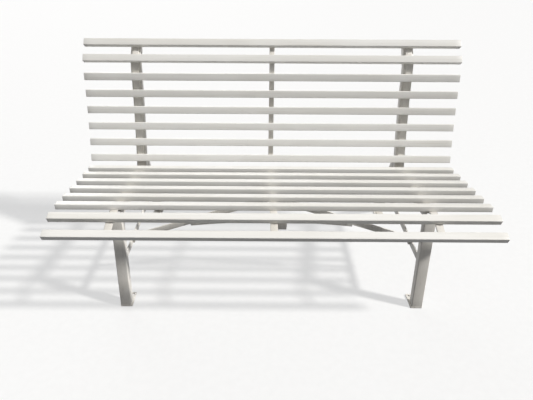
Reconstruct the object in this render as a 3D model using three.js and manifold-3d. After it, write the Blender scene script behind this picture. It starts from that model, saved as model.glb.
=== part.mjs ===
// Garden bench: sixteen painted wooden slats on a painted steel frame, standing free on four foot plates.
// Millimetres. +Z is up, +Y runs from the front to the back, and +X is to the right of someone facing it.
// The origin is on the floor under the middle of the whole bench.
import * as THREE from 'three';
import { mergeVertices } from 'three/addons/utils/BufferGeometryUtils.js';
import Module from 'manifold-3d';

const wasm = await Module();
wasm.setup();

// Clearance kept between two pieces that touch
const GAP = 0.3;

// Slats
const BENCH_LENGTH = 1500;
const SLAT_WIDTH = 29;
const SLAT_THICKNESS = 20;
const SLAT_EDGE_RADIUS = 2;
const SLATS_PER_SIDE = 8;
const SEAT_PITCH = 69.4;
const BACK_PITCH = 66;

// Profile of the frame, seen from the side: a line that every slat lies on.
// It starts under the front slat, dips over the front edge, falls to the corner and rises as the back.
const FRONT_SLAT_HEIGHT = 367;
const FRONT_HEADING = 21;
const FRONT_STRAIGHT = 63;
const FRONT_BEND_LENGTH = 42;
const SEAT_FALL = 6.7;
const SEAT_STRAIGHT = 428;
const BACK_HEADING = 68.5;
const BACK_BOW_LENGTH = 406;
const BACK_BOW_TURN = 10;
const TOP_BEND_LENGTH = 37;
const TOP_BEND_TURN = 29;
const CORNER_TO_FIRST_BACK_SLAT = 42;

// Flat strips that the slats are screwed to: one over each side rail and one at mid length
const STRIP_WIDTH = 25;
const BACK_CENTRE_STRIP_WIDTH = 20;
const STRIP_THICKNESS = 5;
const STRIP_OVERHANG = 10;

// Side rails under the strips: channels, open on the side away from the slats.
// The seat rail starts over the front leg, and the strips run on forward of it.
const RAIL_CENTRE_X = 547;
const RAIL_WIDTH = 40;
const RAIL_DEPTH = 26;
const RAIL_WALL = 3;
const RAIL_START = 130;
const RAIL_NEAR = STRIP_THICKNESS + GAP;
const RAIL_FAR = RAIL_NEAR + RAIL_DEPTH;
const RAIL_OUTER_X = RAIL_CENTRE_X + RAIL_WIDTH / 2;

// Legs: rectangular tube as wide as the rails.
// The front foot stands forward of its top, the rear foot behind it.
const LEG_DEPTH = 30;
const LEG_WALL = 2.5;
const LEG_EDGE_RADIUS = 3;
const FRONT_LEG_LEAN = 10;
const REAR_LEG_LEAN = 25.5;
const FRONT_FOOT_Y = 57;
const REAR_FOOT_Y = 759;

// Foot plates, flush with the outer faces of the legs, each with one hole for a ground anchor
const FOOT_WIDTH = 44;
const FOOT_LENGTH = 72;
const FOOT_THICKNESS = 5;
const FOOT_CORNER_RADIUS = 3;
const ANCHOR_HOLE_DIAMETER = 10;
const ANCHOR_HOLE_FROM_END = 11;
const ANCHOR_HOLE_FROM_INNER_EDGE = 9.5;

// Flat bar on edge, used for the stretchers, the stays and their tie
const BAR_WIDTH = 25;
const BAR_THICKNESS = 5;

// Stretcher between the front and rear leg of each side
const STRETCHER_BOTTOM = 172.5;
const STRETCHER_INNER_X = 535;

// Two stays rise from the stretchers to the middle of the seat, tied by a shallow bow
const STAY_Y = 266;
const STAY_END_TOP = 187;
const STAY_TAB_LENGTH = 38;
const TIE_HALF_LENGTH = 312;
const TIE_BOW_RADIUS = 2690;
const TIE_CROWN_BOTTOM = 250;
const TIE_BOLT_X = 294;
const TIE_BOLT_Z = 251;
const TIE_SEGMENTS = 12;

// Hexagon bolts: diameter, hole, width across the flats, head height, nut height, and length past the nut
const STAY_BOLT = { shank: 8, hole: 8.8, flats: 13, headHeight: 5.3, nutHeight: 6.5, end: 3 };
const TIE_BOLT = { shank: 6, hole: 6.8, flats: 10, headHeight: 4, nutHeight: 5, end: 3 };

// Small folded clip under the second slat, beside the middle strip
const CLIP_WIDTH = 30;
const CLIP_HEIGHT = 36;
const CLIP_DEPTH = 22;
const CLIP_THICKNESS = 3;

// Fineness of round shapes: sides of a round bar,
// and the longest turn and stretch between the corners of a bent bar
const ROUND_SIDES = 24;
const BEND_STEP = 4;
const LENGTH_STEP = 35;

const PAINTED_WOOD = { color: 0xe9e6df, roughness: 0.55, metalness: 0 };
const PAINTED_STEEL = { color: 0xd9d6cc, roughness: 0.45, metalness: 0.1 };
const ZINC = { color: 0xa8a9a6, roughness: 0.4, metalness: 0.9 };

const radians = THREE.MathUtils.degToRad;
const direction = (angle) => new THREE.Vector2(Math.cos(angle), Math.sin(angle));
const leftOf = (angle) => direction(angle + Math.PI / 2);

const bench = new THREE.Group();

function addPart(name, geometry, finish) {
  const mesh = new THREE.Mesh(geometry, new THREE.MeshStandardMaterial(finish));
  mesh.name = name;
  bench.add(mesh);
  return mesh;
}

// ---- solids ----

function toSolid(geometry) {
  const bare = geometry.clone();
  bare.deleteAttribute('normal');
  bare.deleteAttribute('uv');
  const merged = mergeVertices(bare, 1e-4);
  return new wasm.Manifold(new wasm.Mesh({
    numProp: 3,
    vertProperties: new Float32Array(merged.attributes.position.array),
    triVerts: new Uint32Array(merged.index.array),
  }));
}

function toGeometry(solid) {
  const mesh = solid.getMesh();
  const geometry = new THREE.BufferGeometry();
  geometry.setAttribute('position', new THREE.BufferAttribute(new Float32Array(mesh.vertProperties), 3));
  geometry.setIndex(new THREE.BufferAttribute(new Uint32Array(mesh.triVerts), 1));
  return geometry;
}

// A side outline in (y, z), from x0 to x1
function sideSlab(outline, x0, x1) {
  const geometry = new THREE.ExtrudeGeometry(new THREE.Shape(outline), {
    depth: x1 - x0, bevelEnabled: false,
  });
  const axes = new THREE.Matrix4().makeBasis(
    new THREE.Vector3(0, 1, 0), new THREE.Vector3(0, 0, 1), new THREE.Vector3(1, 0, 0),
  );
  return geometry.applyMatrix4(axes).translate(x0, 0, 0);
}

// A front outline in (x, z), from y0 to y1
function frontSlab(outline, y0, y1) {
  const geometry = new THREE.ExtrudeGeometry(new THREE.Shape(outline), {
    depth: y1 - y0, bevelEnabled: false,
  });
  return geometry.rotateX(Math.PI / 2).translate(0, y1, 0);
}

function roundedRectangle(width, height, radius, Kind = THREE.Shape) {
  const shape = new Kind();
  const x = width / 2;
  const y = height / 2;
  shape.moveTo(-x + radius, -y);
  shape.lineTo(x - radius, -y);
  shape.absarc(x - radius, -y + radius, radius, -Math.PI / 2, 0);
  shape.lineTo(x, y - radius);
  shape.absarc(x - radius, y - radius, radius, 0, Math.PI / 2);
  shape.lineTo(-x + radius, y);
  shape.absarc(-x + radius, y - radius, radius, Math.PI / 2, Math.PI);
  shape.lineTo(-x, -y + radius);
  shape.absarc(-x + radius, -y + radius, radius, Math.PI, Math.PI * 1.5);
  return shape;
}

function roundBar(diameter, from, to, sides = ROUND_SIDES) {
  const bar = new THREE.CylinderGeometry(diameter / 2, diameter / 2, from.distanceTo(to), sides);
  const turn = new THREE.Quaternion().setFromUnitVectors(
    new THREE.Vector3(0, 1, 0), to.clone().sub(from).normalize(),
  );
  const middle = from.clone().add(to).multiplyScalar(0.5);
  return bar.applyQuaternion(turn).translate(middle.x, middle.y, middle.z);
}

function hexPrism(acrossFlats, from, to) {
  const SIDES = 6;
  return roundBar(acrossFlats / Math.cos(Math.PI / SIDES), from, to, SIDES);
}

function sorted(a, b) {
  return a < b ? [a, b] : [b, a];
}

// ---- the profile line ----

// A line that starts at a point with a heading and bends by "turn" over each stretch's length.
// It returns a function from the distance along it to a point and the heading there.
function bentLine(start, heading, stretches) {
  return (distance) => {
    const point = start.clone();
    let angle = radians(heading);
    let rest = distance;
    for (const [index, { length, turn }] of stretches.entries()) {
      const step = index === stretches.length - 1 ? rest : Math.min(rest, length);
      const swing = radians(turn) * step / length;
      const chord = swing === 0 ? step : 2 * Math.sin(swing / 2) * step / swing;
      point.addScaledVector(direction(angle + swing / 2), chord);
      angle += swing;
      rest -= step;
    }
    return { point, angle };
  };
}

const SEAT_STRETCHES = [
  { length: FRONT_STRAIGHT, turn: 0 },
  { length: FRONT_BEND_LENGTH, turn: -FRONT_HEADING - SEAT_FALL },
  { length: SEAT_STRAIGHT, turn: 0 },
];
const BACK_STRETCHES = [
  { length: BACK_BOW_LENGTH, turn: BACK_BOW_TURN },
  { length: TOP_BEND_LENGTH, turn: -TOP_BEND_TURN },
  { length: STRIP_OVERHANG, turn: 0 },
];
const SEAT_LENGTH = FRONT_STRAIGHT + FRONT_BEND_LENGTH + SEAT_STRAIGHT;
const BACK_LENGTH = CORNER_TO_FIRST_BACK_SLAT + (SLATS_PER_SIDE - 1) * BACK_PITCH;

const seatLine = bentLine(new THREE.Vector2(0, FRONT_SLAT_HEIGHT), FRONT_HEADING, SEAT_STRETCHES);
const corner = seatLine(SEAT_LENGTH);
const backLine = bentLine(corner.point, BACK_HEADING, BACK_STRETCHES);
const MITRE_SLOPE = Math.tan((radians(BACK_HEADING) - corner.angle) / 2);

// Distances at which a bar along the line needs a corner: its ends and points on each bend
function stations(stretches, from, to) {
  const marks = [from];
  let start = 0;
  for (const { length, turn } of stretches) {
    const steps = turn === 0 ? 1 : Math.ceil(Math.max(Math.abs(turn) / BEND_STEP, length / LENGTH_STEP));
    for (let i = 0; i <= steps; i += 1) {
      marks.push(start + length * i / steps);
    }
    start += length;
  }
  marks.push(to);
  const inside = marks.filter((mark) => mark >= from && mark <= to).sort((a, b) => a - b);
  return inside.filter((mark, i) => i === 0 || mark - inside[i - 1] > 1e-6);
}

// The side outline of a bar that follows the line, between two depths below it.
// Where an end is mitred, its far side runs on past its near side.
function barOutline(line, marks, near, far, mitreAtStart = 0, mitreAtEnd = 0) {
  const edge = (depth) => marks.map((mark, i) => {
    const { point, angle } = line(mark);
    const shift = (i === 0 ? mitreAtStart : 0) + (i === marks.length - 1 ? mitreAtEnd : 0);
    return point.clone()
      .addScaledVector(leftOf(angle), -depth)
      .addScaledVector(direction(angle), shift * depth);
  });
  return [...edge(near), ...edge(far).reverse()];
}

// A channel along the line: a web under the strips and two flanges away from them
function channel(line, marks, centreX, mitreAtStart, mitreAtEnd) {
  const slab = (far, x0, x1) => toSolid(
    sideSlab(barOutline(line, marks, RAIL_NEAR, far, mitreAtStart, mitreAtEnd), x0, x1),
  );
  const left = centreX - RAIL_WIDTH / 2;
  const right = centreX + RAIL_WIDTH / 2;
  const web = slab(RAIL_NEAR + RAIL_WALL, left, right);
  const leftFlange = slab(RAIL_FAR, left, left + RAIL_WALL);
  const rightFlange = slab(RAIL_FAR, right - RAIL_WALL, right);
  return toGeometry(web.add(leftFlange).add(rightFlange));
}

// ---- slats ----

function slatGeometry() {
  const section = roundedRectangle(SLAT_WIDTH, SLAT_THICKNESS, SLAT_EDGE_RADIUS);
  const slat = new THREE.ExtrudeGeometry(section, {
    depth: BENCH_LENGTH, bevelEnabled: false, curveSegments: 3,
  });
  const axes = new THREE.Matrix4().makeBasis(
    new THREE.Vector3(0, 1, 0), new THREE.Vector3(0, 0, 1), new THREE.Vector3(1, 0, 0),
  );
  return slat.translate(0, 0, -BENCH_LENGTH / 2).applyMatrix4(axes);
}

function addSlat(name, { point, angle }) {
  const slat = addPart(name, slatGeometry(), PAINTED_WOOD);
  const centre = point.clone().addScaledVector(leftOf(angle), SLAT_THICKNESS / 2 + GAP);
  slat.position.set(0, centre.x, centre.y);
  slat.rotation.x = angle;
}

function addSlats() {
  for (let i = 0; i < SLATS_PER_SIDE; i += 1) {
    addSlat(`seat_slat_${i + 1}`, seatLine(i * SEAT_PITCH));
    addSlat(`back_slat_${i + 1}`, backLine(CORNER_TO_FIRST_BACK_SLAT + i * BACK_PITCH));
  }
}

// ---- rails and strips ----

function addRails(side, centreX) {
  const seatMarks = stations(SEAT_STRETCHES, RAIL_START, SEAT_LENGTH - GAP);
  const backMarks = stations(BACK_STRETCHES, GAP, BACK_LENGTH + STRIP_OVERHANG);
  addPart(`seat_rail_${side}`, channel(seatLine, seatMarks, centreX, 0, MITRE_SLOPE), PAINTED_STEEL);
  addPart(`back_rail_${side}`, channel(backLine, backMarks, centreX, -MITRE_SLOPE, 0), PAINTED_STEEL);
}

function strip(line, stretches, firstSlat, lastSlat, centreX, width) {
  const marks = stations(stretches, firstSlat - STRIP_OVERHANG, lastSlat + STRIP_OVERHANG);
  const outline = barOutline(line, marks, 0, STRIP_THICKNESS);
  return sideSlab(outline, centreX - width / 2, centreX + width / 2);
}

function addStrips(place, centreX, backWidth) {
  const lastSeatSlat = (SLATS_PER_SIDE - 1) * SEAT_PITCH;
  const seat = strip(seatLine, SEAT_STRETCHES, 0, lastSeatSlat, centreX, STRIP_WIDTH);
  const back = strip(backLine, BACK_STRETCHES, CORNER_TO_FIRST_BACK_SLAT, BACK_LENGTH, centreX, backWidth);
  addPart(`seat_strip_${place}`, seat, PAINTED_STEEL);
  addPart(`back_strip_${place}`, back, PAINTED_STEEL);
}

// ---- legs ----

// Each leg's front face meets the floor at footY, and its top leans by "lean" degrees towards the back.
// REAR_FOOT_Y is where the rear face of the rear leg meets the floor.
const FRONT_LEG = { footY: FRONT_FOOT_Y, lean: FRONT_LEG_LEAN };
const REAR_LEG = { footY: REAR_FOOT_Y - LEG_DEPTH / Math.cos(radians(REAR_LEG_LEAN)), lean: -REAR_LEG_LEAN };

// The place of a leg's front or rear face at a height
function legFaceY({ footY, lean }, z, depth) {
  return footY + depth / Math.cos(radians(lean)) + z * Math.tan(radians(lean));
}

// A straight tube, cut off flat above the foot plate and where it meets the rail.
// It is made too long at both ends, and the cut outline keeps the part between them.
function legTube(leg, centreX, cutOutline) {
  const EXTRA = 100;
  const section = roundedRectangle(RAIL_WIDTH, LEG_DEPTH, LEG_EDGE_RADIUS);
  const bore = roundedRectangle(RAIL_WIDTH - 2 * LEG_WALL, LEG_DEPTH - 2 * LEG_WALL,
    LEG_EDGE_RADIUS - LEG_WALL, THREE.Path);
  section.holes.push(bore);
  const tube = new THREE.ExtrudeGeometry(section, {
    depth: FRONT_SLAT_HEIGHT + 2 * EXTRA, bevelEnabled: false, curveSegments: 3,
  });
  tube.translate(0, LEG_DEPTH / 2, -EXTRA);
  tube.rotateX(radians(-leg.lean));
  tube.translate(centreX, leg.footY, 0);
  const cut = toSolid(sideSlab(cutOutline, centreX - RAIL_WIDTH, centreX + RAIL_WIDTH));
  return toGeometry(toSolid(tube).intersect(cut));
}

// The space for the front leg: above the foot plate and below the seat rail
function frontLegSpace() {
  const bottom = FOOT_THICKNESS + GAP;
  const marks = [FRONT_STRAIGHT + FRONT_BEND_LENGTH, SEAT_LENGTH / 2];
  const [front, rear] = barOutline(seatLine, marks, RAIL_FAR + GAP, RAIL_FAR + GAP);
  return [new THREE.Vector2(0, bottom), new THREE.Vector2(rear.x, bottom), rear, front,
    new THREE.Vector2(0, front.y)];
}

// The space for the rear leg: above the foot plate and behind the back rail
function rearLegSpace() {
  const bottom = FOOT_THICKNESS + GAP;
  const marks = stations(BACK_STRETCHES, 0, BACK_BOW_LENGTH / 3);
  const depth = RAIL_FAR + GAP;
  const railRear = barOutline(backLine, marks, depth, depth, -MITRE_SLOPE).slice(0, marks.length);
  const top = railRear.at(-1).y;
  const far = REAR_FOOT_Y + LEG_DEPTH;
  return [new THREE.Vector2(railRear[0].x, bottom), new THREE.Vector2(far, bottom),
    new THREE.Vector2(far, top), ...railRear.reverse()];
}

function addLegs(side, centreX) {
  addPart(`front_leg_${side}`, legTube(FRONT_LEG, centreX, frontLegSpace()), PAINTED_STEEL);
  addPart(`rear_leg_${side}`, legTube(REAR_LEG, centreX, rearLegSpace()), PAINTED_STEEL);
}

// A plate that runs on from the leg's foot under the bench, with its anchor hole beside the leg's inner face
function footPlate(outward, startY, holeAtEnd) {
  const plate = roundedRectangle(FOOT_WIDTH, FOOT_LENGTH, FOOT_CORNER_RADIUS);
  const holeX = -outward * (FOOT_WIDTH / 2 - ANCHOR_HOLE_FROM_INNER_EDGE);
  const holeY = (FOOT_LENGTH / 2 - ANCHOR_HOLE_FROM_END) * (holeAtEnd ? 1 : -1);
  const hole = new THREE.Path();
  hole.absarc(holeX, holeY, ANCHOR_HOLE_DIAMETER / 2, 0, Math.PI * 2);
  plate.holes.push(hole);
  const solid = new THREE.ExtrudeGeometry(plate, {
    depth: FOOT_THICKNESS, bevelEnabled: false, curveSegments: ROUND_SIDES / 2,
  });
  return solid.translate(outward * (RAIL_OUTER_X - FOOT_WIDTH / 2), startY + FOOT_LENGTH / 2, 0);
}

function addFootPlates(side, outward) {
  addPart(`front_foot_plate_${side}`, footPlate(outward, FRONT_FOOT_Y, true), PAINTED_STEEL);
  addPart(`rear_foot_plate_${side}`, footPlate(outward, REAR_FOOT_Y - FOOT_LENGTH, false), PAINTED_STEEL);
}

// ---- stretchers ----

// A flat bar on edge, fitted between the two legs and drilled for the bolt of its stay
function addStretcher(side, outward) {
  const top = STRETCHER_BOTTOM + BAR_WIDTH;
  const frontY = (z) => legFaceY(FRONT_LEG, z, LEG_DEPTH) + GAP;
  const rearY = (z) => legFaceY(REAR_LEG, z, 0) - GAP;
  const outline = [
    new THREE.Vector2(frontY(STRETCHER_BOTTOM), STRETCHER_BOTTOM),
    new THREE.Vector2(rearY(STRETCHER_BOTTOM), STRETCHER_BOTTOM),
    new THREE.Vector2(rearY(top), top),
    new THREE.Vector2(frontY(top), top),
  ];
  const [x0, x1] = sorted(outward * STRETCHER_INNER_X, outward * (STRETCHER_INNER_X + BAR_THICKNESS));
  const bar = toSolid(sideSlab(outline, x0, x1));
  addPart(`side_stretcher_${side}`, toGeometry(bar.subtract(stayBoltHole(outward))), PAINTED_STEEL);
}

// ---- stays and tie ----

// The stay's front and rear faces, and the tie in front of it
const STAY_Y0 = STAY_Y - BAR_THICKNESS / 2;
const STAY_Y1 = STAY_Y + BAR_THICKNESS / 2;
const TIE_Y1 = STAY_Y0 - GAP;
const TIE_Y0 = TIE_Y1 - BAR_THICKNESS;

// The tab at the stay's lower end lies against the stretcher's inner face and points forward
const TAB_OUTER_X = STRETCHER_INNER_X - GAP;
const TAB_MIDDLE_Y = STAY_Y0 - STAY_TAB_LENGTH / 2;
const TAB_MIDDLE_Z = STRETCHER_BOTTOM + BAR_WIDTH / 2;

function stayBoltHole(outward) {
  const reach = 4 * BAR_THICKNESS;
  return toSolid(roundBar(STAY_BOLT.hole,
    new THREE.Vector3(outward * (TAB_OUTER_X - reach), TAB_MIDDLE_Y, TAB_MIDDLE_Z),
    new THREE.Vector3(outward * (TAB_OUTER_X + reach), TAB_MIDDLE_Y, TAB_MIDDLE_Z)));
}

function tieBoltHole(outward) {
  const reach = 4 * BAR_THICKNESS;
  return toSolid(roundBar(TIE_BOLT.hole,
    new THREE.Vector3(outward * TIE_BOLT_X, STAY_Y - reach, TIE_BOLT_Z),
    new THREE.Vector3(outward * TIE_BOLT_X, STAY_Y + reach, TIE_BOLT_Z)));
}

function seatUndersideAt(y) {
  const slope = Math.tan(corner.angle);
  return corner.point.y + (y - corner.point.x) * slope - STRIP_THICKNESS / Math.cos(corner.angle);
}

// A flat bar on edge with its lower end folded forward along the stretcher
function addStay(side, outward) {
  const peak = seatUndersideAt(STAY_Y1) - GAP;
  const rise = Math.atan2(peak - STAY_END_TOP, TAB_OUTER_X);
  const drop = BAR_WIDTH / Math.cos(rise);
  const barOutlineXZ = [
    new THREE.Vector2(outward * GAP / 2, peak),
    new THREE.Vector2(outward * TAB_OUTER_X, STAY_END_TOP),
    new THREE.Vector2(outward * TAB_OUTER_X, STAY_END_TOP - drop),
    new THREE.Vector2(outward * GAP / 2, peak - drop),
  ];
  const tabOutlineYZ = [
    new THREE.Vector2(STAY_Y1, STRETCHER_BOTTOM),
    new THREE.Vector2(STAY_Y1, STRETCHER_BOTTOM + BAR_WIDTH),
    new THREE.Vector2(STAY_Y0 - STAY_TAB_LENGTH, STRETCHER_BOTTOM + BAR_WIDTH),
    new THREE.Vector2(STAY_Y0 - STAY_TAB_LENGTH, STRETCHER_BOTTOM),
  ];
  const [x0, x1] = sorted(outward * TAB_OUTER_X, outward * (TAB_OUTER_X - BAR_THICKNESS));
  const bar = toSolid(frontSlab(barOutlineXZ, STAY_Y0, STAY_Y1));
  const tab = toSolid(sideSlab(tabOutlineYZ, x0, x1));
  const drilled = bar.add(tab).subtract(stayBoltHole(outward)).subtract(tieBoltHole(outward));
  addPart(`diagonal_stay_${side}`, toGeometry(drilled), PAINTED_STEEL);
}

// A flat bar bent to a shallow arch, lapped over the front of both stays
function addTie() {
  const halfAngle = Math.asin(TIE_HALF_LENGTH / TIE_BOW_RADIUS);
  const centre = new THREE.Vector2(0, TIE_CROWN_BOTTOM - TIE_BOW_RADIUS);
  const arc = (radius) => Array.from({ length: TIE_SEGMENTS + 1 }, (_, i) => {
    const angle = Math.PI / 2 + halfAngle * (1 - 2 * i / TIE_SEGMENTS);
    return direction(angle).multiplyScalar(radius).add(centre);
  });
  const outline = [...arc(TIE_BOW_RADIUS), ...arc(TIE_BOW_RADIUS + BAR_WIDTH).reverse()];
  const bar = toSolid(frontSlab(outline, TIE_Y0, TIE_Y1));
  const drilled = bar.subtract(tieBoltHole(-1)).subtract(tieBoltHole(1));
  addPart('stay_tie', toGeometry(drilled), PAINTED_STEEL);
}

// ---- bolts ----

// A hexagon-head bolt through two bars, and the nut that holds it. "axis" points from head to nut,
// and "grip" is how far the nut's side of the bars is from the head's side.
function addBolt(name, nutName, size, headSeat, axis, grip) {
  const at = (distance) => headSeat.clone().addScaledVector(axis, distance);
  const nutEnd = grip + GAP + size.nutHeight;
  const head = toSolid(hexPrism(size.flats, at(-GAP - size.headHeight), at(-GAP)));
  const shank = toSolid(roundBar(size.shank, at(-GAP - size.headHeight / 2), at(nutEnd + size.end)));
  addPart(name, toGeometry(head.add(shank)), ZINC);
  const nut = toSolid(hexPrism(size.flats, at(grip + GAP), at(nutEnd)));
  const thread = toSolid(roundBar(size.shank + 2 * GAP, at(grip - size.end), at(nutEnd + size.end)));
  addPart(nutName, toGeometry(nut.subtract(thread)), ZINC);
}

function addBolts(side, outward) {
  const tabFace = new THREE.Vector3(outward * (TAB_OUTER_X - BAR_THICKNESS), TAB_MIDDLE_Y, TAB_MIDDLE_Z);
  const tieFace = new THREE.Vector3(outward * TIE_BOLT_X, TIE_Y0, TIE_BOLT_Z);
  const sideways = new THREE.Vector3(outward, 0, 0);
  const backwards = new THREE.Vector3(0, 1, 0);
  const grip = 2 * BAR_THICKNESS + GAP;
  addBolt(`stay_bolt_${side}`, `stay_nut_${side}`, STAY_BOLT, tabFace, sideways, grip);
  addBolt(`tie_bolt_${side}`, `tie_nut_${side}`, TIE_BOLT, tieFace, backwards, grip);
}

// ---- clip ----

// An angle whose upper flange lies against the second slat's underside, to the right of the strip
function addClip() {
  const { point, angle } = seatLine(SEAT_PITCH);
  const x0 = STRIP_WIDTH / 2 + GAP;
  const along = direction(angle);
  const down = leftOf(angle).negate();
  const at = (a, d) => point.clone().addScaledVector(along, a).addScaledVector(down, d);
  const half = CLIP_DEPTH / 2;
  const outline = [at(-half, 0), at(-half, CLIP_HEIGHT), at(-half + CLIP_THICKNESS, CLIP_HEIGHT),
    at(-half + CLIP_THICKNESS, CLIP_THICKNESS), at(half, CLIP_THICKNESS), at(half, 0)];
  addPart('slat_clip', sideSlab(outline, x0, x0 + CLIP_WIDTH), PAINTED_STEEL);
}

// ---- the bench ----

addSlats();
addStrips('centre', 0, BACK_CENTRE_STRIP_WIDTH);
addTie();
addClip();
for (const [side, outward] of [['left', -1], ['right', 1]]) {
  addStrips(side, outward * RAIL_CENTRE_X, STRIP_WIDTH);
  addRails(side, outward * RAIL_CENTRE_X);
  addLegs(side, outward * RAIL_CENTRE_X);
  addFootPlates(side, outward);
  addStretcher(side, outward);
  addStay(side, outward);
  addBolts(side, outward);
}

// The profile was laid out from the front slat: move the bench so that the origin is under its middle
const extent = new THREE.Box3().setFromObject(bench);
bench.position.y = -(extent.min.y + extent.max.y) / 2;

export default bench;
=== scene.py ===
"""The looks of a garden bench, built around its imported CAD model.

Metres, +Z up, +Y from the front to the back, in the same frame as the CAD. Every piece is rebuilt with a
finer shape in the place that its CAD node holds, and gets a procedural material of painted wood, painted
steel or zinc plate.
"""
import math

import bmesh
import bpy
import numpy as np
from mathutils import Matrix, Vector, noise
from mathutils.bvhtree import BVHTree
from mathutils.geometry import intersect_line_plane


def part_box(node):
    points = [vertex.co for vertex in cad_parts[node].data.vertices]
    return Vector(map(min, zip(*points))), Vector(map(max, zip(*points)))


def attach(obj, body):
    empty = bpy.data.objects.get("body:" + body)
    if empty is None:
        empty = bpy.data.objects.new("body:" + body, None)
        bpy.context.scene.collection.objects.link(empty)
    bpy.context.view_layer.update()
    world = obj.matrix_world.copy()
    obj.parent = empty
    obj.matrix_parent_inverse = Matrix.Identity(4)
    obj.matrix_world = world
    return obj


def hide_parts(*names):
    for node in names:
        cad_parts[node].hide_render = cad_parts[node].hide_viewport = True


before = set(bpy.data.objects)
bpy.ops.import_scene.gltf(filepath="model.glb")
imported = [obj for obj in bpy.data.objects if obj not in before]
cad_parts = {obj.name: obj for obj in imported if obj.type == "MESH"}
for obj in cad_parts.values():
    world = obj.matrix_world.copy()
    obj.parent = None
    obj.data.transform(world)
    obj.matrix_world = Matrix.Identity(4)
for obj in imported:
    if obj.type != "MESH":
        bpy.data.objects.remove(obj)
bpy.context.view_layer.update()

MM = 0.001
X_AXIS = Vector((1, 0, 0))
Y_AXIS = Vector((0, 1, 0))
Z_AXIS = Vector((0, 0, 1))

# Meshes: points this near are one, faces that turn by less lie in one plane, and edges shade as sharp above
SAME_POINT = 0.002 * MM
ONE_PLANE = math.radians(0.12)
SHARP_ABOVE = math.radians(38)

# Camera: where it stands, how far it looks down, its small turn and roll, and its lens
CAMERA_PLACE = Vector((-0.060, -1.564, 1.256))
CAMERA_DOWN = math.radians(31.93)
CAMERA_TURN = math.radians(-0.15)
CAMERA_ROLL = math.radians(-0.28)
CAMERA_SENSOR = 36.0
CAMERA_LENS = 30.95
CAMERA_SHIFT = 0.0214

# Studio light: the way towards each light, its strength, how wide it looks and its colour. The key
# comes from the right and the fill from behind the bench.
KEY_FROM = Vector((1.0, -0.17, 0.92))
KEY_STRENGTH = 3.95
KEY_SOFTNESS = math.radians(5)
KEY_COLOUR = (1.0, 0.985, 0.96)
FILL_FROM = Vector((-0.30, 1.0, 0.28))
FILL_STRENGTH = 1.1
FILL_SOFTNESS = math.radians(50)
FILL_COLOUR = (0.97, 0.985, 1.0)

# Surroundings: brightness above and below, and the upward slopes of view between which it changes
SKY_STRENGTH = 0.26
GROUND_STRENGTH = 0.03
SKY_FROM = -0.1
GROUND_FROM = -0.3
SKY_COLOUR = (0.97, 0.98, 1.0, 1.0)

# Floor: its half width, and how far it lies under the plates so that the two never flicker
FLOOR_REACH = 14.0
FLOOR_DROP = 0.2 * MM
FLOOR_GLOW = 0.55

# Wood slats
SLAT_EDGE_RADIUS = 2.2 * MM
SLAT_END_ROUNDING = 1.2 * MM
SLAT_RING_SPACING = 24 * MM
SLAT_HAND_FINISH = 0.18 * MM
SLATS_PER_SIDE = 8
SLAT_CORNER_STEPS = 5
SLAT_END_STEPS = 4

# Steel sections, the steps of their round corners and bends, and how far their cut edges are eased
CLEARANCE = 0.3 * MM
STRIP_THICKNESS = 5 * MM
BAR_WIDTH = 25 * MM
BAR_THICKNESS = 5 * MM
RAIL_WALL = 3 * MM
RAIL_BEND_RADIUS = 3.6 * MM
LEG_WALL = 2.5 * MM
LEG_CORNER_RADIUS = 3.0 * MM
LEG_LEVELS = 9
LEG_CORNER_STEPS = 5
STRIP_EDGE_RADIUS = 1.0 * MM
FLANGE_EDGE_RADIUS = 0.7 * MM
INNER_FOLD_RADIUS = 1.2 * MM
FINEST_TURN = 1.2
LONGEST_STEP = 40 * MM
EDGE_STEPS = 3
CUT_EDGE = 0.45 * MM
BAR_EDGE = 0.8 * MM
STRETCHER_EDGE = 0.7 * MM
CLIP_EDGE = 0.6 * MM

# Bolts: shank, width across the flats, head height, nut height and thread pitch
STAY_BOLT = {"shank": 8 * MM, "flats": 13 * MM, "head": 5.3 * MM, "nut": 6.5 * MM, "pitch": 1.25 * MM}
TIE_BOLT = {"shank": 6 * MM, "flats": 10 * MM, "head": 4 * MM, "nut": 5 * MM, "pitch": 1.0 * MM}
# Their faces are round inside the chamfer, with a diameter that is nearly the width across the flats
FACE_SHARE = 0.47
CHAMFER = math.radians(30)
WASHER_FACE = 0.3 * MM
THREAD_PAST_NUT = 3 * MM
NUT_CLEARANCE = 0.15 * MM
NUT_COUNTERSINK = 0.6 * MM
TIP_RADIUS = 0.2 * MM

# Screws
SCREW_HEAD_RADIUS = 4.0 * MM
SCREW_HEAD_HEIGHT = 2.6 * MM
SCREW_SHANK_RADIUS = 2.0 * MM
SCREW_LENGTH = 18 * MM
SCREW_SIDES = 24
RECESS_ARM = 2.1 * MM
RECESS_BLADE = 0.42 * MM
RECESS_DEPTH = 1.7 * MM

# Welds: a bead's radius, the length of its ripples, and the thinner beads' share of the radius
WELD_RADIUS = 1.9 * MM
WELD_RIPPLE = 3.2 * MM
WELD_SIDES = 10
FOOT_WELD_SHARE = 0.5
JOINT_WELD_SHARE = 0.7
STAY_WELD_SHARE = 0.8
# A point of a leg's end that is this near to an edge's place lies on that edge
ON_EDGE = 0.3 * MM

SIDES = ("left", "right")
STRIP_PLACES = ("left", "centre", "right")


# ---- meshes ----

def cad_mesh(node):
    """A CAD node's solid as a bmesh with its coplanar triangles joined into whole faces."""
    bm = bmesh.new()
    bm.from_mesh(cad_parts[node].data)
    bmesh.ops.remove_doubles(bm, verts=bm.verts, dist=SAME_POINT)
    bmesh.ops.dissolve_limit(bm, angle_limit=ONE_PLANE, verts=bm.verts, edges=bm.edges)
    return bm


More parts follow.
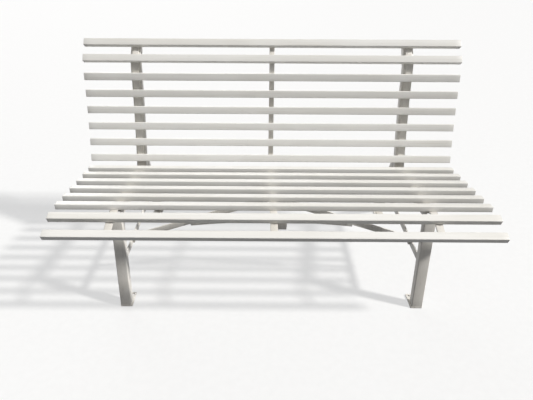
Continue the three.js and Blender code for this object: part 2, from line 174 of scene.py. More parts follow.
def skin(bm, rings, loop=False):
    """Faces between rings of points. A loop joins the last ring to the first; else both ends are closed."""
    rows = [[bm.verts.new(point) for point in ring] for ring in rings]
    pairs = list(zip(rows, rows[1:]))
    if loop:
        pairs.append((rows[-1], rows[0]))
    for first, second in pairs:
        for i in range(len(first)):
            j = (i + 1) % len(first)
            bm.faces.new((first[i], first[j], second[j], second[i]))
    if not loop:
        bm.faces.new(rows[0])
        bm.faces.new(rows[-1])
    return rows


def round_edges(bm, width, sharper_than):
    """Rounds the edges that turn by more than an angle in degrees."""
    limit = math.radians(sharper_than)
    sharp = [edge for edge in bm.edges if edge.is_manifold and edge.calc_face_angle(0) > limit]
    bmesh.ops.bevel(bm, geom=sharp, offset=width, segments=EDGE_STEPS, profile=0.5,
                    affect="EDGES", clamp_overlap=True)


def as_piece(name, bm, material, slot, *nodes):
    """Turns a bmesh into a piece that rides on the bench and stands for CAD nodes."""
    bmesh.ops.recalc_face_normals(bm, faces=bm.faces)
    mesh = bpy.data.meshes.new(name)
    bm.to_mesh(mesh)
    bm.free()
    mesh.shade_smooth()
    mesh.set_sharp_from_angle(angle=SHARP_ABOVE)
    mesh.materials.append(material)
    piece = bpy.data.objects.new(name, mesh)
    bpy.context.scene.collection.objects.link(piece)
    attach(piece, "root")
    if nodes:
        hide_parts(*nodes)


def turned(flat, angle):
    """A flat vector turned by an angle in radians."""
    cos, sin = math.cos(angle), math.sin(angle)
    return Vector((flat.x * cos - flat.y * sin, flat.x * sin + flat.y * cos))


def rounded_outline(corners, radii, steps=4):
    """A closed outline through flat corner points, with an arc of its own radius at each corner."""
    points = []
    for i, corner in enumerate(corners):
        before = (corners[i - 1] - corner).normalized()
        after = (corners[(i + 1) % len(corners)] - corner).normalized()
        half = before.angle(after) / 2
        radius = radii[i]
        centre = corner + (before + after).normalized() * (radius / math.sin(half))
        start = corner + before * (radius / math.tan(half)) - centre
        end = corner + after * (radius / math.tan(half)) - centre
        swing = math.atan2(start.cross(end), start.dot(end))
        for step in range(steps + 1):
            points.append(centre + turned(start, swing * step / steps))
    return points


def rounded_box(width, height, radius, steps):
    """The outline of a rectangle with round corners, around its middle."""
    x, y = width / 2, height / 2
    corners = [Vector((x, y)), Vector((-x, y)), Vector((-x, -y)), Vector((x, -y))]
    return rounded_outline(corners, [radius] * 4, steps)


def side_point(x, flat):
    """A point (y, z) of the bench's side view, at a place across the bench."""
    return Vector((x, flat.x, flat.y))


# ---- slats ----

def section_axes(node):
    """Middle, width direction and upward thickness direction of a slat's section, in the side view."""
    points = np.array([v.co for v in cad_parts[node].data.vertices])
    flat = np.unique(np.round(points[:, 1:], 6), axis=0)
    middle = (flat.min(0) + flat.max(0)) / 2
    values, vectors = np.linalg.eigh(np.cov((flat - middle).T))
    width = Vector(vectors[:, int(np.argmax(values))])
    if width.x + width.y < 0:
        width.negate()
    thickness = turned(width, math.pi / 2)
    reach = [(Vector(p) - Vector(middle)) for p in flat]
    size = [2 * max(abs(r.dot(axis)) for r in reach) for axis in (width, thickness)]
    return Vector(middle), width, thickness, size


def slat_rings(low, high):
    """Places along a slat and how far its outline draws in there: rounded over at both ends."""
    turns = [math.pi / 2 * i / SLAT_END_STEPS for i in range(SLAT_END_STEPS + 1)]
    draw = [SLAT_END_ROUNDING * (1 - math.sin(turn)) for turn in turns]
    reach = [SLAT_END_ROUNDING * (1 - math.cos(turn)) for turn in turns]
    count = round((high - low) / SLAT_RING_SPACING)
    inner = [low + (high - low) * i / count for i in range(1, count)]
    places = [(low + r, d) for r, d in zip(reach, draw)] + [(x, 0.0) for x in inner]
    return places + [(high - r, d) for r, d in reversed(list(zip(reach, draw)))]


def add_slat(node, seed, material):
    """A planed slat with eased edges, sanded by hand so that they are never quite even."""
    middle, width, thickness, size = section_axes(node)
    low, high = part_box(node)
    bm = bmesh.new()
    edge_mark = bm.verts.layers.float.new("edge")
    per_corner = SLAT_CORNER_STEPS + 1
    on_edge = [math.sin(math.pi * (i % per_corner) / SLAT_CORNER_STEPS) for i in range(4 * per_corner)]
    rings = []
    for x, draw in slat_rings(low.x, high.x):
        radius = SLAT_EDGE_RADIUS - draw / 2
        outline = rounded_box(size[0] - 2 * draw, size[1] - 2 * draw, radius, SLAT_CORNER_STEPS)
        ring = []
        for i, point in enumerate(outline):
            wobble = noise.noise(Vector((x * 16, seed * 7.3 + i // per_corner, 0.5)))
            inward = SLAT_HAND_FINISH * on_edge[i] * (0.5 + wobble)
            flat = point * (1 - inward / point.length)
            ring.append(side_point(x, middle + width * flat.x + thickness * flat.y))
        rings.append(ring)
    rows = skin(bm, rings)
    for row in rows:
        for i, vert in enumerate(row):
            vert[edge_mark] = on_edge[i]
    for row in (*rows[:SLAT_END_STEPS], *rows[-SLAT_END_STEPS:]):
        for vert in row:
            vert[edge_mark] = 1.0
    as_piece(f"{node}_board", bm, material, "slat_paint", node)


# ---- bent bars ----

def side_outline(node):
    """Corner points (y, z), in order, of the flat side of a bent bar."""
    bm = cad_mesh(node)
    low_x = min(v.co.x for v in bm.verts)
    sides = [f for f in bm.faces if all(abs(v.co.x - low_x) < 0.01 * MM for v in f.verts)]
    face = max(sides, key=lambda f: f.calc_area())
    outline = [Vector((v.co.y, v.co.z)) for v in face.verts]
    bm.free()
    return outline


def stations(node):
    """Pairs of points (near side, far side) along a bent bar, from its lower front end on.

    The near side is the one that the slats lie on. The bar's four end corners turn more sharply than
    any of its bends.
    """
    outline = side_outline(node)
    count = len(outline)
    turns = []
    for i in range(count):
        before = outline[i] - outline[i - 1]
        after = outline[(i + 1) % count] - outline[i]
        turns.append(abs(math.atan2(before.cross(after), before.dot(after))))
    ends = sorted(sorted(range(count), key=lambda i: -turns[i])[:4])
    chains = []
    for start, stop in zip(ends, ends[1:] + [ends[0] + count]):
        chains.append([outline[i % count] for i in range(start, stop + 1)])
    chains.sort(key=lambda chain: -sum((b - a).length for a, b in zip(chain, chain[1:])))
    near, far = chains[:2]
    if near[0].x + near[0].y > near[-1].x + near[-1].y:
        near = near[::-1]
    if far[0].x + far[0].y > far[-1].x + far[-1].y:
        far = far[::-1]
    heading = near[-1] - near[0]
    if heading.cross(far[0] - near[0]) > 0:
        near, far = far, near
    return list(zip(near, far))


def bent_path(node):
    """Closely spaced pairs (near point, way across) along a bent bar, and the bar's depth.

    They lie on smooth curves through the bar's stations.
    """
    pairs = stations(node)
    depth = min((far - near).length for near, far in pairs)
    ways = [far - near for near, far in pairs]
    heads = [turned(way, math.pi / 2).normalized() for way in ways]
    heads[0] = (pairs[1][0] - pairs[0][0]).normalized()
    heads[-1] = (pairs[-1][0] - pairs[-2][0]).normalized()
    path = [(pairs[0][0], ways[0])]
    for i, ((near, _), (next_near, _)) in enumerate(zip(pairs, pairs[1:])):
        chord = (next_near - near).length
        turn = heads[i].angle(heads[i + 1])
        steps = max(math.ceil(math.degrees(turn) / FINEST_TURN), math.ceil(chord / LONGEST_STEP), 1)
        for step in range(1, steps + 1):
            t = step / steps
            point = (near * (2 * t**3 - 3 * t**2 + 1)
                     + heads[i] * chord * (t**3 - 2 * t**2 + t)
                     + next_near * (3 * t**2 - 2 * t**3)
                     + heads[i + 1] * chord * (t**3 - t**2))
            head = heads[i].lerp(heads[i + 1], t).normalized()
            path.append((point, turned(head, -math.pi / 2) * depth))
    path[-1] = (pairs[-1][0], ways[-1])
    return path, depth


def sweep_along(node, outline_of):
    """A bar swept along its CAD node's side line.

    The outline is given across the bench and into the bar's depth.
    """
    path, depth = bent_path(node)
    low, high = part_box(node)
    centre = (low.x + high.x) / 2
    outline = outline_of(high.x - low.x, depth)
    bm = bmesh.new()
    rings = [[side_point(centre + p.x, near + way * (p.y / depth)) for p in outline]
             for near, way in path]
    skin(bm, rings)
    bmesh.ops.recalc_face_normals(bm, faces=bm.faces)
    round_edges(bm, CUT_EDGE, sharper_than=60)
    return bm


def channel_outline(width, depth):
    """A folded channel: a web at depth 0 and two flanges, with round folds and eased flange edges."""
    half = width / 2
    inside = half - RAIL_WALL
    corners = [Vector(c) for c in ((-half, 0), (-half, depth), (-inside, depth), (-inside, RAIL_WALL),
                                   (inside, RAIL_WALL), (inside, depth), (half, depth), (half, 0))]
    flange = [FLANGE_EDGE_RADIUS] * 2
    inner_folds = [INNER_FOLD_RADIUS] * 2
    return rounded_outline(corners, [RAIL_BEND_RADIUS, *flange, *inner_folds, *flange, RAIL_BEND_RADIUS])


def strip_outline(width, depth):
    """A flat strip with eased edges."""
    half = width / 2
    corners = [Vector(c) for c in ((-half, 0), (-half, depth), (half, depth), (half, 0))]
    return rounded_outline(corners, [STRIP_EDGE_RADIUS] * 4)


def add_rails_and_strips(material):
    """The channels of the frame and the flat strips between them and the slats."""
    for side in SIDES:
        for node in (f"seat_rail_{side}", f"back_rail_{side}"):
            as_piece(f"{node}_channel", sweep_along(node, channel_outline), material, "frame_paint", node)
    for place in STRIP_PLACES:
        for node in (f"seat_strip_{place}", f"back_strip_{place}"):
            as_piece(f"{node}_bar", sweep_along(node, strip_outline), material, "frame_paint", node)


# ---- legs ----

def leg_directions(node):
    """The upward direction of a leg's tube, and the direction through its depth."""
    bm = cad_mesh(node)
    longest = max(bm.edges, key=lambda edge: edge.calc_length())
    up = (longest.verts[0].co - longest.verts[1].co).normalized()
    bm.free()
    if up.z < 0:
        up.negate()
    return up, up.cross(X_AXIS)


def leg_wall_lines(node, inset, radius):
    """Bottom and top points of lines up a leg's outer or inner wall, ended by the CAD solid's two cuts.

    The cuts are found by rays that run up and down inside the thickness of the wall.
    """
    up, through = leg_directions(node)
    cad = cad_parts[node].data
    points = [v.co for v in cad.vertices]
    low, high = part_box(node)
    depths = [p.dot(through) for p in points]
    middle_depth = (min(depths) + max(depths)) / 2
    centre_x = (low.x + high.x) / 2
    width = high.x - low.x
    depth = max(depths) - min(depths)
    tree = BVHTree.FromPolygons(points, [tuple(p.vertices) for p in cad.polygons])
    outline = rounded_box(width - 2 * inset, depth - 2 * inset, radius, LEG_CORNER_STEPS)
    probe_radius = LEG_CORNER_RADIUS - LEG_WALL / 2
    probes = rounded_box(width - LEG_WALL, depth - LEG_WALL, probe_radius, LEG_CORNER_STEPS)
    lines = []
    for flat, within in zip(outline, probes):
        base = X_AXIS * (centre_x + flat.x) + through * (middle_depth + flat.y)
        probe = X_AXIS * (centre_x + within.x) + through * (middle_depth + within.y)
        ends = []
        for direction in (up, -up):
            hit, normal, _, _ = tree.ray_cast(probe - direction * 2, direction)
            ends.append(intersect_line_plane(base, base + up, hit, normal))
        lines.append(ends)
    return lines


def add_leg(node, material):
    """A square tube with rounded corners, open at both cut ends. Returns its two outer end rings."""
    rings = []
    for inset, radius in ((0.0, LEG_CORNER_RADIUS), (LEG_WALL, LEG_CORNER_RADIUS - LEG_WALL)):
        lines = leg_wall_lines(node, inset, radius)
        levels = [[low.lerp(high, i / LEG_LEVELS) for low, high in lines] for i in range(LEG_LEVELS + 1)]
        rings += levels if inset == 0 else levels[::-1]
    bm = bmesh.new()
    skin(bm, rings, loop=True)
    bmesh.ops.recalc_face_normals(bm, faces=bm.faces)
    round_edges(bm, CUT_EDGE, sharper_than=45)
    as_piece(f"{node}_tube", bm, material, "frame_paint", node)
    return rings[0], rings[LEG_LEVELS]


# ---- plates, bars and other pieces that keep the shape of their CAD solid ----

def add_eased(node, material, width, suffix="bar"):
    """The CAD solid with its cut edges eased."""
    bm = cad_mesh(node)
    round_edges(bm, width, sharper_than=40)
    as_piece(f"{node}_{suffix}", bm, material, "frame_paint", node)


# ---- fixings ----

def along(origin, axis):
    """The placement that turns +Z to an axis and moves the origin there."""
    return Matrix.Translation(origin) @ Z_AXIS.rotation_difference(axis).to_matrix().to_4x4()


def ring_of(radius_at, height_at, sides=48):
    """A ring round +Z whose radius and height are functions of the angle."""
    angles = [2 * math.pi * i / sides for i in range(sides)]
    return [Vector((radius_at(a) * math.cos(a), radius_at(a) * math.sin(a), height_at(a)))
            for a in angles]


def flat_ring(radius, height, sides=48):
    """A round level ring."""
    return ring_of(lambda a: radius, lambda a: height, sides)


def hexagon(flats):
    """Radius of a hexagon's outline at an angle."""
    return lambda a: flats / 2 / math.cos((a % (math.pi / 3)) - math.pi / 6)


def chamfered_ring(flats, face, inward):
    """The hexagon's outline where its face is turned off to a cone; inward is +1 or -1 along Z."""
    outline = hexagon(flats)
    start = FACE_SHARE * flats
    drop = math.tan(CHAMFER)
    return ring_of(outline, lambda a: face + inward * max(0.0, outline(a) - start) * drop)


def add_bolt(node, size, origin, axis, grip, material):
    """A hexagon bolt: chamfered head, plain shank, and a thread that ends past its nut."""
    bm = bmesh.new()
    radius = size["shank"] / 2
    head, flats, pitch = size["head"], size["flats"], size["pitch"]
    face = FACE_SHARE * flats
    rings = [flat_ring(TIP_RADIUS, -head), flat_ring(face, -head), chamfered_ring(flats, -head, 1),
             ring_of(hexagon(flats), lambda a: -WASHER_FACE), flat_ring(face, -WASHER_FACE),
             flat_ring(face, 0), flat_ring(radius, 0), flat_ring(radius, grip)]
    end = grip + size["nut"] + THREAD_PAST_NUT
    for i in range(int((end - grip) / pitch)):
        z = grip + i * pitch
        rings.append(flat_ring(radius * 0.86, z + 0.1 * pitch))
        rings.append(flat_ring(radius * 0.99, z + 0.5 * pitch))
    rings += [flat_ring(radius * 0.8, end), flat_ring(TIP_RADIUS, end)]
    skin(bm, rings)
    bmesh.ops.transform(bm, matrix=along(origin, axis), verts=bm.verts)
    as_piece(f"{node}_plated", bm, material, "fixings", node)


def add_nut(node, size, origin, axis, material):
    """A hexagon nut with both faces turned off and a countersunk thread."""
    bm = bmesh.new()
    height, flats = size["nut"], size["flats"]
    face = FACE_SHARE * flats
    bore = size["shank"] / 2 + NUT_CLEARANCE
    sink = NUT_COUNTERSINK
    rings = [flat_ring(face, 0), chamfered_ring(flats, 0, 1),
             chamfered_ring(flats, height, -1), flat_ring(face, height),
             flat_ring(bore + sink, height), flat_ring(bore, height - sink),
             flat_ring(bore, sink), flat_ring(bore + sink, 0)]
    skin(bm, rings, loop=True)
    bmesh.ops.transform(bm, matrix=along(origin, axis), verts=bm.verts)
    as_piece(f"{node}_plated", bm, material, "fixings", node)


def add_bolts(material):
    """The bolts and nuts of the stays and the tie, each placed by its CAD node's box."""
    for side, outward in zip(SIDES, (-1, 1)):
        low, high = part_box(f"stay_bolt_{side}")
        middle = (low + high) / 2
        inner = high.x if outward < 0 else low.x
        axis = X_AXIS * outward
        origin = Vector((inner, middle.y, middle.z)) + axis * STAY_BOLT["head"]
        nut_low, nut_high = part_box(f"stay_nut_{side}")
        nut_start = nut_high.x if outward < 0 else nut_low.x
        add_bolt(f"stay_bolt_{side}", STAY_BOLT, origin, axis, abs(nut_start - origin.x), material)
        add_nut(f"stay_nut_{side}", STAY_BOLT, Vector((nut_start, middle.y, middle.z)), axis, material)
        low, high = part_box(f"tie_bolt_{side}")
        middle = (low + high) / 2
        origin = Vector((middle.x, low.y + TIE_BOLT["head"], middle.z))
        nut_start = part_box(f"tie_nut_{side}")[0].y
        add_bolt(f"tie_bolt_{side}", TIE_BOLT, origin, Y_AXIS, nut_start - origin.y, material)
        add_nut(f"tie_nut_{side}", TIE_BOLT, Vector((middle.x, nut_start, middle.z)), Y_AXIS, material)


def temporary_object(name, bm):
    """An object for a boolean cut, removed again after it."""
    mesh = bpy.data.meshes.new(name)
    bm.to_mesh(mesh)
    bm.free()
    made = bpy.data.objects.new(name, mesh)
    bpy.context.scene.collection.objects.link(made)
    bpy.context.view_layer.update()
    return made


def screw_mesh():
    """A pan-head wood screw with a cross recess, head up, its head's underside at height 0."""
    bm = bmesh.new()
    dome_steps = 6
    profile = [(0.15 * MM, SCREW_HEAD_HEIGHT)]
    for i in range(1, dome_steps + 1):
        turn = math.pi / 2 * i / dome_steps
        radius = SCREW_HEAD_RADIUS * math.sin(turn) ** 0.7
        profile.append((radius, SCREW_HEAD_HEIGHT * (0.25 + 0.75 * math.cos(turn))))
    profile += [(SCREW_HEAD_RADIUS, 0), (SCREW_SHANK_RADIUS, 0),
                (SCREW_SHANK_RADIUS, -0.8 * SCREW_LENGTH), (TIP_RADIUS, -SCREW_LENGTH)]
    skin(bm, [flat_ring(radius, height, SCREW_SIDES) for radius, height in profile])
    bmesh.ops.recalc_face_normals(bm, faces=bm.faces)
    head = temporary_object("screw_head", bm)
    cross = bmesh.new()
    corners = ((-1, -1), (1, -1), (1, 1), (-1, 1))
    bottom = [(0.4 * RECESS_ARM * i, 0.6 * RECESS_BLADE * j) for i, j in corners]
    top = [(RECESS_ARM * i, RECESS_BLADE * j) for i, j in corners]
    for turn in (0, math.pi / 2):
        placed = Matrix.Rotation(turn, 4, "Z")
        levels = ((bottom, SCREW_HEAD_HEIGHT - RECESS_DEPTH), (top, SCREW_HEAD_HEIGHT + MM))
        skin(cross, [[placed @ Vector((x, y, z)) for x, y in ring] for ring, z in levels])
    bmesh.ops.recalc_face_normals(cross, faces=cross.faces)
    cutter = temporary_object("screw_recess", cross)
    cut = head.modifiers.new("recess", "BOOLEAN")
    cut.operation = "DIFFERENCE"
    cut.solver = "EXACT"
    cut.use_self = True
    cut.object = cutter
    shaped = bpy.data.meshes.new_from_object(head.evaluated_get(bpy.context.evaluated_depsgraph_get()))
    for leftover in (head, cutter):
        bpy.data.objects.remove(leftover)
    return shaped


def screwed_depth(part, place, slat_middle):
    """How much steel a screw goes through below a slat: the strip, and a side rail's web under it."""
    strip = CLEARANCE + STRIP_THICKNESS
    if place == "centre":
        return strip
    rail_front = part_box(f"seat_rail_{place}")[0].y
    if part == "seat" and slat_middle.x < rail_front:
        return strip
    return strip + CLEARANCE + RAIL_WALL


def add_screws(material):
    """One screw through each strip into each slat, driven from the side away from the slats."""
    shape = screw_mesh()
    for part in ("seat", "back"):
        for place in STRIP_PLACES:
            low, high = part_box(f"{part}_strip_{place}")
            bm = bmesh.new()
            for i in range(1, SLATS_PER_SIDE + 1):
                middle, _, thickness, size = section_axes(f"{part}_slat_{i}")
                under = size[1] / 2 + screwed_depth(part, place, middle)
                origin = side_point((low.x + high.x) / 2, middle - thickness * under)
                axis = -side_point(0, thickness)
                turn = Matrix.Rotation(1.7 * i + len(place), 4, "Z")
                start = len(bm.verts)
                bm.from_mesh(shape)
                bm.verts.ensure_lookup_table()
                bmesh.ops.transform(bm, matrix=along(origin, axis) @ turn, verts=bm.verts[start:])
            as_piece(f"{part}_screws_{place}", bm, material, "fixings")


# ---- welds ----

def bead(bm, points, closed, radius, seed):
    """A weld bead: a low rippled run of metal along a line of points."""
    line = [Vector(p) for p in points]
    if closed:
        line.append(line[0])
    step = WELD_RIPPLE / 4
    places = []
    for start, end in zip(line, line[1:]):
        count = max(1, round((end - start).length / step))
        places += [start.lerp(end, i / count) for i in range(count)]
    if not closed:
        places.append(line[-1])
    rings = []
    total = len(places)
    for i, place in enumerate(places):
        before = places[i - 1] if closed or i > 0 else place
        after = places[(i + 1) % total] if closed or i < total - 1 else place
        heading = (after - before).normalized()
        upright = abs(heading.z) > 0.9
        side = (heading.orthogonal() if upright else heading.cross(Z_AXIS)).normalized()
        up = side.cross(heading)
        ripple = abs(math.sin(math.pi * i * step / WELD_RIPPLE))
        uneven = noise.noise(place * 90 + Vector((seed, 0, 0)))
        size = radius * (0.78 + 0.16 * ripple + 0.22 * uneven)
        if not closed:
            size *= min(1.0, 0.35 + 0.3 * min(i, total - 1 - i))
        angles = [2 * math.pi * k / WELD_SIDES for k in range(WELD_SIDES)]
        rings.append([place + side * size * math.cos(a) + up * size * math.sin(a) for a in angles])
    skin(bm, rings, loop=closed)


def end_corners(node, direction):
    """Corner points of the face of a CAD solid that faces a direction most."""
    bm = cad_mesh(node)
    face = max(bm.faces, key=lambda f: f.normal.dot(direction) + f.calc_area())
    corners = [v.co.copy() for v in face.verts]
    bm.free()
    return corners


def bead_along_end(bm, ring, y, radius, seed):
    """A straight bead across the flat of a leg's foot that lies at one end of its depth."""
    flat = sorted((p for p in ring if abs(p.y - y) < ON_EDGE), key=lambda p: p.x)
    bead(bm, (flat[0], flat[-1]), False, radius, seed)


def add_foot_welds(side, rings, material):
    """A thin bead round each leg's foot, and a full one where the plate runs on under the bench."""
    bm = bmesh.new()
    for seed, (end, ring) in enumerate(rings.items()):
        bead(bm, ring, True, FOOT_WELD_SHARE * WELD_RADIUS, seed)
        inner_end = max if end == "front" else min
        bead_along_end(bm, ring, inner_end(p.y for p in ring), WELD_RADIUS, 5 + seed)
    as_piece(f"foot_welds_{side}", bm, material, "frame_paint")


def add_stretcher_welds(side, material):
    """A bead round each end of a stretcher."""
    bm = bmesh.new()
    radius = JOINT_WELD_SHARE * WELD_RADIUS
    for seed, direction in enumerate((-Y_AXIS, Y_AXIS)):
        bead(bm, end_corners(f"side_stretcher_{side}", direction), True, radius, 10 + seed)
    as_piece(f"stretcher_welds_{side}", bm, material, "frame_paint")


def add_rail_welds(side, rings, material):
    """Beads along both sides of each leg's top under the rail, and down the corner where the rails meet."""
    bm = bmesh.new()
    radius = JOINT_WELD_SHARE * WELD_RADIUS
    low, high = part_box(f"seat_rail_{side}")
    for seed, ring in enumerate(rings.values()):
        xs = [p.x for p in ring]
        for edge in (min(xs), max(xs)):
            flat = sorted((p for p in ring if abs(p.x - edge) < ON_EDGE), key=lambda p: p.y)
            start, end = flat[0], flat[-1]
            if start.y < low.y:
                start = start.lerp(end, (low.y + 3 * MM - start.y) / (end.y - start.y))
            bead(bm, (start, end), False, radius, 20 + seed)
    near, far = stations(f"seat_rail_{side}")[-1]
    for x in (low.x, high.x):
        bead(bm, (side_point(x, near.lerp(far, 0.1)), side_point(x, far)), False, radius, x * 50)
    as_piece(f"rail_welds_{side}", bm, material, "frame_paint")


def add_stay_weld(material):
    """Beads down the front and back of the joint where the two stays meet under the middle of the seat."""
    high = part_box("diagonal_stay_left")[1]
    bm = bmesh.new()
    for y in (high.y - BAR_THICKNESS, high.y):
        points = (Vector((0, y, high.z - BAR_WIDTH)), Vector((0, y, high.z)))
        bead(bm, points, False, STAY_WELD_SHARE * WELD_RADIUS, 40 + y)
    as_piece("stay_weld", bm, material, "frame_paint")


# ---- materials ----

class Surface:
    """A material's nodes, with short ways to add the ones that the finishes share."""

    def __init__(self, name, **uniform):
        self.material = bpy.data.materials.new(name)
        self.material.use_nodes = True
        self.tree = self.material.node_tree
        self.shader = self.tree.nodes["Principled BSDF"]
        for socket, value in uniform.items():
            self.shader.inputs[socket.replace("_", " ")].default_value = value
        self.place = self.tree.nodes.new("ShaderNodeTexCoord").outputs["Object"]

    def feed(self, value, socket):
        """Links an output to a socket, or sets a plain value on it."""
        if isinstance(value, bpy.types.NodeSocket):
            self.tree.links.new(value, socket)
        else:
            socket.default_value = value

    def noise(self, scale, detail=4.0, roughness=0.5, offset=0.0):
        """Noise that varies at a rate given for each axis, in cycles per metre."""
        mapping = self.tree.nodes.new("ShaderNodeMapping")
        mapping.inputs["Scale"].default_value = scale
        mapping.inputs["Location"].default_value = (offset, offset, offset)
        self.tree.links.new(self.place, mapping.inputs["Vector"])
        node = self.tree.nodes.new("ShaderNodeTexNoise")
        node.inputs["Scale"].default_value = 1.0
        node.inputs["Detail"].default_value = detail
        node.inputs["Roughness"].default_value = roughness
        self.tree.links.new(mapping.outputs["Vector"], node.inputs["Vector"])
        return node.outputs["Fac"]

    def band(self, value, start, end, low=0.0, high=1.0):
        """Maps a value from start..end to low..high, smoothly and clamped."""
        node = self.tree.nodes.new("ShaderNodeMapRange")
        node.interpolation_type = "SMOOTHSTEP"
        for socket, number in zip(("From Min", "From Max", "To Min", "To Max"), (start, end, low, high)):
            node.inputs[socket].default_value = number
        self.feed(value, node.inputs["Value"])
        return node.outputs["Result"]

    def combine(self, operation, first, second):
        """A sum, a product or another operation on two values."""
        node = self.tree.nodes.new("ShaderNodeMath")
        node.operation = operation
        self.feed(first, node.inputs[0])
        self.feed(second, node.inputs[1])
        return node.outputs[0]

    def blend(self, factor, first, second):
        """Mixes two colours."""
        node = self.tree.nodes.new("ShaderNodeMix")
        node.data_type = "RGBA"
        self.feed(factor, node.inputs["Factor"])
        self.feed(first, node.inputs["A"])
        self.feed(second, node.inputs["B"])
        return node.outputs["Result"]

    def height(self):
        """How high a point is above the floor."""
        split = self.tree.nodes.new("ShaderNodeSeparateXYZ")
        self.tree.links.new(self.place, split.inputs[0])
        return split.outputs["Z"]

    def mark(self, name):
        """A value painted on the mesh's vertices."""
        node = self.tree.nodes.new("ShaderNodeAttribute")
        node.attribute_name = name
        return node.outputs["Fac"]

    def bump(self, height, depth, strength, after=None):
        """Relief of a depth in metres, on top of an earlier bump if there is one."""
        node = self.tree.nodes.new("ShaderNodeBump")
        node.inputs["Strength"].default_value = strength
        node.inputs["Distance"].default_value = depth
        self.feed(height, node.inputs["Height"])
        if after is not None:
            self.tree.links.new(after, node.inputs["Normal"])
        return node.outputs["Normal"]

    def finish(self, colour, roughness, normal):
        """Links the three outputs that vary over the surface to the shader."""
        self.tree.links.new(colour, self.shader.inputs["Base Color"])
        self.tree.links.new(roughness, self.shader.inputs["Roughness"])
        self.tree.links.new(normal, self.shader.inputs["Normal"])
        return self.material


def rgba(red, green, blue):
    return (red, green, blue, 1.0)


def painted_wood():
    """Brush-painted white gloss on planed softwood: grain under the paint, brush marks, thin worn edges."""
    s = Surface("painted_wood", IOR=1.48, Coat_Weight=0.08, Coat_Roughness=0.25)
    blotch = s.noise((2.2, 9, 9), detail=3)
    grain = s.noise((3, 210, 210), detail=5, roughness=0.6, offset=3.1)
    brush = s.noise((7, 850, 850), detail=2, offset=7.7)
    dust = s.noise((60, 90, 90), detail=6, roughness=0.65, offset=1.3)
    colour = s.blend(s.band(blotch, 0.35, 0.65), rgba(0.80, 0.785, 0.745), rgba(0.85, 0.84, 0.81))
    colour = s.blend(s.band(grain, 0.50, 0.70, 0.0, 0.30), colour, rgba(0.66, 0.63, 0.565))
    colour = s.blend(s.band(dust, 0.58, 0.75, 0.0, 0.25), colour, rgba(0.60, 0.575, 0.52))
    chips = s.noise((70, 260, 260), detail=5, roughness=0.7, offset=5.9)
    worn = s.combine("MULTIPLY", s.mark("edge"), s.band(chips, 0.59, 0.68))
    colour = s.blend(s.combine("MULTIPLY", worn, 0.55), colour, rgba(0.50, 0.43, 0.33))
    roughness = s.combine("ADD", s.band(dust, 0.3, 0.8, 0.36, 0.58), s.combine("MULTIPLY", worn, 0.2))
    normal = s.bump(grain, 0.35 * MM, 0.5)
    normal = s.bump(brush, 0.12 * MM, 0.5, after=normal)
    normal = s.bump(worn, -0.15 * MM, 0.6, after=normal)
    return s.finish(colour, roughness, normal)


def painted_steel():
    """Thick off-white paint on steel: orange peel, grey dust, and rust spots that gather near the floor."""
    s = Surface("painted_steel", IOR=1.5, Coat_Weight=0.12, Coat_Roughness=0.2)
    blotch = s.noise((14, 14, 8), detail=3)
    peel = s.noise((420, 420, 420), detail=2, offset=2.2)
    runs = s.noise((160, 160, 14), detail=4, offset=4.5)
    dust = s.noise((120, 120, 120), detail=6, roughness=0.7, offset=6.1)
    colour = s.blend(s.band(blotch, 0.35, 0.65), rgba(0.715, 0.685, 0.63), rgba(0.78, 0.755, 0.71))
    colour = s.blend(s.band(runs, 0.53, 0.73, 0.0, 0.28), colour, rgba(0.52, 0.49, 0.43))
    colour = s.blend(s.band(dust, 0.56, 0.76, 0.0, 0.3), colour, rgba(0.50, 0.47, 0.41))
    low_down = s.band(s.height(), 0.0, 0.09, 0.035, 0.0)
    spots = s.noise((210, 210, 210), detail=5, roughness=0.7, offset=8.4)
    rust = s.band(s.combine("ADD", spots, low_down), 0.705, 0.75)
    colour = s.blend(s.combine("MULTIPLY", rust, 0.6), colour, rgba(0.24, 0.12, 0.06))
    roughness = s.combine("ADD", s.band(dust, 0.3, 0.8, 0.34, 0.55), s.combine("MULTIPLY", rust, 0.3))
    normal = s.bump(peel, 0.10 * MM, 0.45)
    normal = s.bump(rust, -0.12 * MM, 0.7, after=normal)
    return s.finish(colour, roughness, normal)


def zinc_plate():
    """Dull zinc with clouded patches and fine turning marks."""
    s = Surface("zinc_plate", Metallic=1.0)
    cloud = s.noise((300, 300, 300), detail=5, roughness=0.6)
    scratch = s.noise((1600, 1600, 240), detail=3, offset=3.3)
    colour = s.blend(s.band(cloud, 0.35, 0.7), rgba(0.60, 0.60, 0.58), rgba(0.42, 0.42, 0.41))
    roughness = s.band(cloud, 0.3, 0.75, 0.3, 0.55)
    return s.finish(colour, roughness, s.bump(scratch, 0.05 * MM, 0.5))


def pale_floor():
    """A pale sheet that glows a little, so that shadows on it stay light."""
    s = Surface("pale_floor", Specular_IOR_Level=0.1, Emission_Color=rgba(1.0, 1.0, 1.0),
                Emission_Strength=FLOOR_GLOW)
    grain = s.noise((40, 40, 40), detail=4)
    colour = s.blend(s.band(grain, 0.2, 0.8), rgba(0.33, 0.33, 0.328), rgba(0.35, 0.35, 0.348))
    return s.finish(colour, s.band(grain, 0.2, 0.8, 0.75, 0.85), s.bump(grain, 0.1 * MM, 0.2))


# ---- camera, floor and light ----

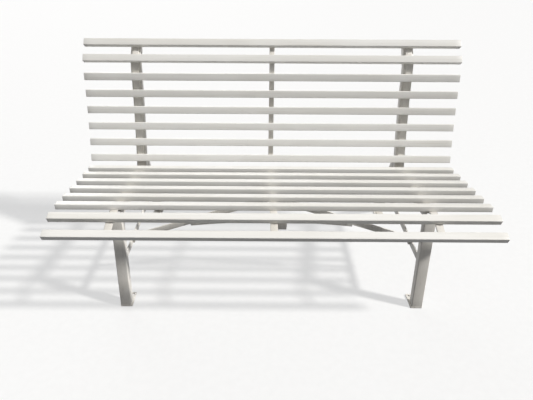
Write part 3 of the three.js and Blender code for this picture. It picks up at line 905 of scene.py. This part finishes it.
def add_camera():
    """A camera in front of the bench, above it and looking down at it."""
    data = bpy.data.cameras.new("camera")
    data.sensor_fit = "HORIZONTAL"
    data.sensor_width = CAMERA_SENSOR
    data.lens = CAMERA_LENS
    data.shift_x = CAMERA_SHIFT
    data.clip_start = 0.05
    camera = bpy.data.objects.new("camera", data)
    bpy.context.scene.collection.objects.link(camera)
    camera.matrix_world = (Matrix.Translation(CAMERA_PLACE)
                           @ Matrix.Rotation(-CAMERA_TURN, 4, "Z")
                           @ Matrix.Rotation(math.pi / 2 - CAMERA_DOWN, 4, "X")
                           @ Matrix.Rotation(-CAMERA_ROLL, 4, "Z"))
    bpy.context.scene.camera = camera


def add_floor(material):
    """A level sheet that sends no light of its own to the bench."""
    corners = [(FLOOR_REACH * i, FLOOR_REACH * j, 0) for i, j in ((-1, -1), (1, -1), (1, 1), (-1, 1))]
    mesh = bpy.data.meshes.new("floor")
    mesh.from_pydata(corners, [], [(0, 1, 2, 3)])
    mesh.materials.append(material)
    floor = bpy.data.objects.new("floor", mesh)
    floor.location.z = -FLOOR_DROP
    floor.visible_diffuse = False
    bpy.context.scene.collection.objects.link(floor)


def add_light(name, shines_from, strength, softness, colour):
    """A distant light that shines from a direction."""
    data = bpy.data.lights.new(name, "SUN")
    data.energy = strength
    data.angle = softness
    data.color = colour
    light = bpy.data.objects.new(name, data)
    light.rotation_euler = shines_from.to_track_quat("Z", "Y").to_euler()
    bpy.context.scene.collection.objects.link(light)


def add_studio():
    """Surroundings that are dimmer from below, and the two lights."""
    world = bpy.data.worlds.new("studio")
    world.use_nodes = True
    nodes, links = world.node_tree.nodes, world.node_tree.links
    background = nodes["Background"]
    background.inputs["Color"].default_value = SKY_COLOUR
    split = nodes.new("ShaderNodeSeparateXYZ")
    links.new(nodes.new("ShaderNodeTexCoord").outputs["Generated"], split.inputs[0])
    strength = nodes.new("ShaderNodeMapRange")
    for socket, number in zip(("From Min", "From Max", "To Min", "To Max"),
                              (GROUND_FROM, SKY_FROM, GROUND_STRENGTH, SKY_STRENGTH)):
        strength.inputs[socket].default_value = number
    links.new(split.outputs["Z"], strength.inputs["Value"])
    links.new(strength.outputs["Result"], background.inputs["Strength"])
    bpy.context.scene.world = world
    add_light("key", KEY_FROM, KEY_STRENGTH, KEY_SOFTNESS, KEY_COLOUR)
    add_light("fill", FILL_FROM, FILL_STRENGTH, FILL_SOFTNESS, FILL_COLOUR)
    bpy.context.scene.view_settings.view_transform = "Standard"


# ---- the bench ----

def build():
    """Every piece of the bench in its finish."""
    wood, steel, zinc = painted_wood(), painted_steel(), zinc_plate()
    for i in range(1, SLATS_PER_SIDE + 1):
        add_slat(f"seat_slat_{i}", i, wood)
        add_slat(f"back_slat_{i}", i + SLATS_PER_SIDE, wood)
    add_rails_and_strips(steel)
    for side in SIDES:
        foot_rings, top_rings = {}, {}
        for end in ("front", "rear"):
            foot_rings[end], top_rings[end] = add_leg(f"{end}_leg_{side}", steel)
            add_eased(f"{end}_foot_plate_{side}", steel, BAR_EDGE, suffix="plate")
        add_eased(f"side_stretcher_{side}", steel, STRETCHER_EDGE)
        add_eased(f"diagonal_stay_{side}", steel, BAR_EDGE)
        add_foot_welds(side, foot_rings, steel)
        add_stretcher_welds(side, steel)
        add_rail_welds(side, top_rings, steel)
    add_eased("stay_tie", steel, BAR_EDGE)
    add_eased("slat_clip", steel, CLIP_EDGE, suffix="angle")
    add_stay_weld(steel)
    add_bolts(zinc)
    add_screws(zinc)


add_camera()
add_floor(pale_floor())
add_studio()
build()
